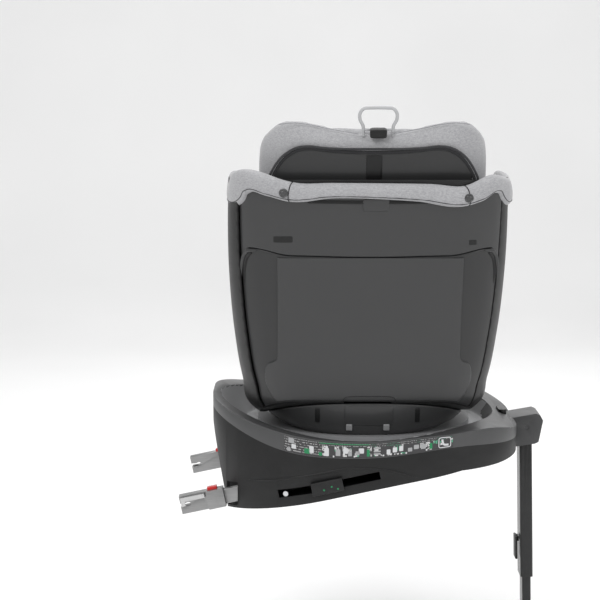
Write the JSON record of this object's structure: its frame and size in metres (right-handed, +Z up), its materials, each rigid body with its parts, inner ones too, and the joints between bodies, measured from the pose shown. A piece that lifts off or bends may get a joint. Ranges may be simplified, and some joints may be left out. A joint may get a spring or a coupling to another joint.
{
  "type": "child car seat",
  "caption": "Rotating convertible child car seat: swivel base with support leg and anchor latches, reclining shell, sliding headrest and harness.",
  "frame": {"origin": "where the swivel axis meets the sloping plane of the base's underside, which rests on the vehicle seat cushion", "axes": "+Z up as installed, +X towards the front of the vehicle and the support leg, +Y along the anchor bar; the seat faces +Y"},
  "size_m": [0.6243, 0.5532, 0.9516],
  "materials": {
    "black_plastic": "fine grained matt",
    "charcoal_shell": "semi-gloss",
    "rim_plastic": "satin",
    "grey_plastic": "satin",
    "light_plastic": "satin",
    "red_plastic": "gloss",
    "fabric_grey": "woven melange",
    "fabric_dark": "woven",
    "webbing": "ribbed webbing",
    "foam": "expanded foam",
    "steel": "brushed",
    "leg_metal": "powder coated",
    "rubber": "matt"
  },
  "bodies": {
    "base": {"base_lower_housing": "black_plastic", "base_rim": "rim_plastic", "base_deck": "grey_plastic", "deck_screws": "steel", "leg_arm": "rim_plastic", "leg_pivot_pin": "steel", "anchor_guides": "black_plastic"},
    "rotation_release": {"rotation_button": "black_plastic"},
    "turntable": {"turntable_disc": "black_plastic", "turntable_retainer": "steel", "recline_rails": "steel", "recline_cradle": "charcoal_shell"},
    "seat": {"seat_bucket": "black_plastic", "back_cover_upper": "charcoal_shell", "back_cover_lower": "charcoal_shell", "centre_back_plate": "charcoal_shell", "side_cover_left": "charcoal_shell", "side_cover_right": "charcoal_shell", "front_cover": "charcoal_shell", "shell_runners": "steel", "seat_foam": "foam", "seat_cushion": "fabric_grey", "shell_lining": "fabric_grey", "back_cushion": "fabric_grey", "side_bolsters": "fabric_grey", "cover_snaps": "fabric_dark", "clip_tab": "black_plastic", "buckle_body": "black_plastic", "harness_tongue_left": "steel", "harness_tongue_right": "steel", "shoulder_straps_lower": "webbing", "lap_straps": "webbing", "crotch_pad": "fabric_dark", "adjuster_housing": "black_plastic", "adjuster_strap": "webbing"},
    "recline_handle": {"recline_lever": "grey_plastic"},
    "buckle_release": {"buckle_button": "red_plastic"},
    "harness_release": {"adjuster_button": "grey_plastic"},
    "headrest": {"headrest_core": "fabric_grey", "headrest_back_panel": "fabric_dark", "headrest_pad": "fabric_grey", "shoulder_pad_left": "fabric_dark", "shoulder_pad_right": "fabric_dark", "shoulder_straps_upper": "webbing"},
    "headrest_release": {"headrest_handle": "light_plastic"},
    "anchor_carriage": {"anchor_arms": "steel", "anchor_cross_tube": "steel", "slide_knobs": "black_plastic", "latch_housing_left": "black_plastic", "latch_housing_right": "black_plastic", "latch_pins": "steel"},
    "jaw_left": {"latch_jaw_left": "steel"},
    "jaw_right": {"latch_jaw_right": "steel"},
    "anchor_release_left": {"latch_button_left": "grey_plastic"},
    "anchor_release_right": {"latch_button_right": "grey_plastic"},
    "leg": {"leg_outer_tube": "leg_metal"},
    "leg_lock": {"leg_lever": "black_plastic"},
    "leg_extension": {"leg_inner_tube": "leg_metal", "leg_foot": "black_plastic", "foot_sole": "rubber"}
  },
  "joints": [
    {"name": "seat_swivel", "type": "hinge", "parent": "base", "child": "turntable", "pos_m": [0, 0, 0], "axis": [0, 0, 1], "continuous": true},
    {"name": "seat_recline", "type": "hinge", "parent": "turntable", "child": "seat", "pos_m": [0, 0, 0.52], "axis": [1, 0, 0], "range_deg": [0, 12]},
    {"name": "headrest_height", "type": "slide", "parent": "seat", "child": "headrest", "axis": [0, -0.2588, 0.9659], "range_m": [-0.1, 0.07]},
    {"name": "headrest_handle_pull", "type": "slide", "parent": "headrest", "child": "headrest_release", "axis": [0, -0.2588, 0.9659], "range_m": [0, 0.01], "stiffness_N_per_m": 600},
    {"name": "anchor_extend", "type": "slide", "parent": "base", "child": "anchor_carriage", "axis": [-0.9781, 0, -0.2079], "range_m": [-0.059, 0.052]},
    {"name": "latch_jaw_left_swing", "type": "hinge", "parent": "anchor_carriage", "child": "jaw_left", "pos_m": [-0.26848, -0.14, -0.02589], "axis": [0, 1, 0], "range_deg": [0, 20], "stiffness_Nm_per_rad": 0.3},
    {"name": "latch_button_left_press", "type": "slide", "parent": "anchor_carriage", "child": "anchor_release_left", "axis": [0.2079, 0, -0.9781], "range_m": [0, 0.003]},
    {"name": "latch_jaw_right_swing", "type": "hinge", "parent": "anchor_carriage", "child": "jaw_right", "pos_m": [-0.26848, 0.14, -0.02589], "axis": [0, 1, 0], "range_deg": [0, 20], "stiffness_Nm_per_rad": 0.3},
    {"name": "latch_button_right_press", "type": "slide", "parent": "anchor_carriage", "child": "anchor_release_right", "axis": [0.2079, 0, -0.9781], "range_m": [0, 0.003]},
    {"name": "leg_fold", "type": "hinge", "parent": "base", "child": "leg", "pos_m": [0.277, 0, 0.062], "axis": [0, 1, 0], "range_deg": [0, 79.5]},
    {"name": "leg_height", "type": "slide", "parent": "leg", "child": "leg_extension", "axis": [0.0262, 0, -0.9997], "range_m": [-0.105, 0.09]},
    {"name": "leg_lock_squeeze", "type": "hinge", "parent": "leg", "child": "leg_lock", "pos_m": [0.26977, 0, -0.13926], "axis": [0, -1, 0], "range_deg": [0, 5], "stiffness_Nm_per_rad": 1},
    {"name": "rotation_release_press", "type": "slide", "parent": "base", "child": "rotation_release", "axis": [0, 0, -1], "range_m": [0, 0.003], "stiffness_N_per_m": 600},
    {"name": "recline_lever_pull", "type": "slide", "parent": "seat", "child": "recline_handle", "axis": [0, 1, 0], "range_m": [0, 0.012], "stiffness_N_per_m": 500},
    {"name": "buckle_button_press", "type": "slide", "parent": "seat", "child": "buckle_release", "axis": [0, -1, 0], "range_m": [0, 0.003], "stiffness_N_per_m": 1200},
    {"name": "harness_button_press", "type": "slide", "parent": "seat", "child": "harness_release", "axis": [0, 0, -1], "range_m": [0, 0.002], "stiffness_N_per_m": 1200}
  ],
  "couplings": [
    {"joint": "latch_button_left_press", "follows": "latch_jaw_left_swing", "m_per_rad": 0.0085944},
    {"joint": "latch_button_right_press", "follows": "latch_jaw_right_swing", "m_per_rad": 0.0085944}
  ]
}
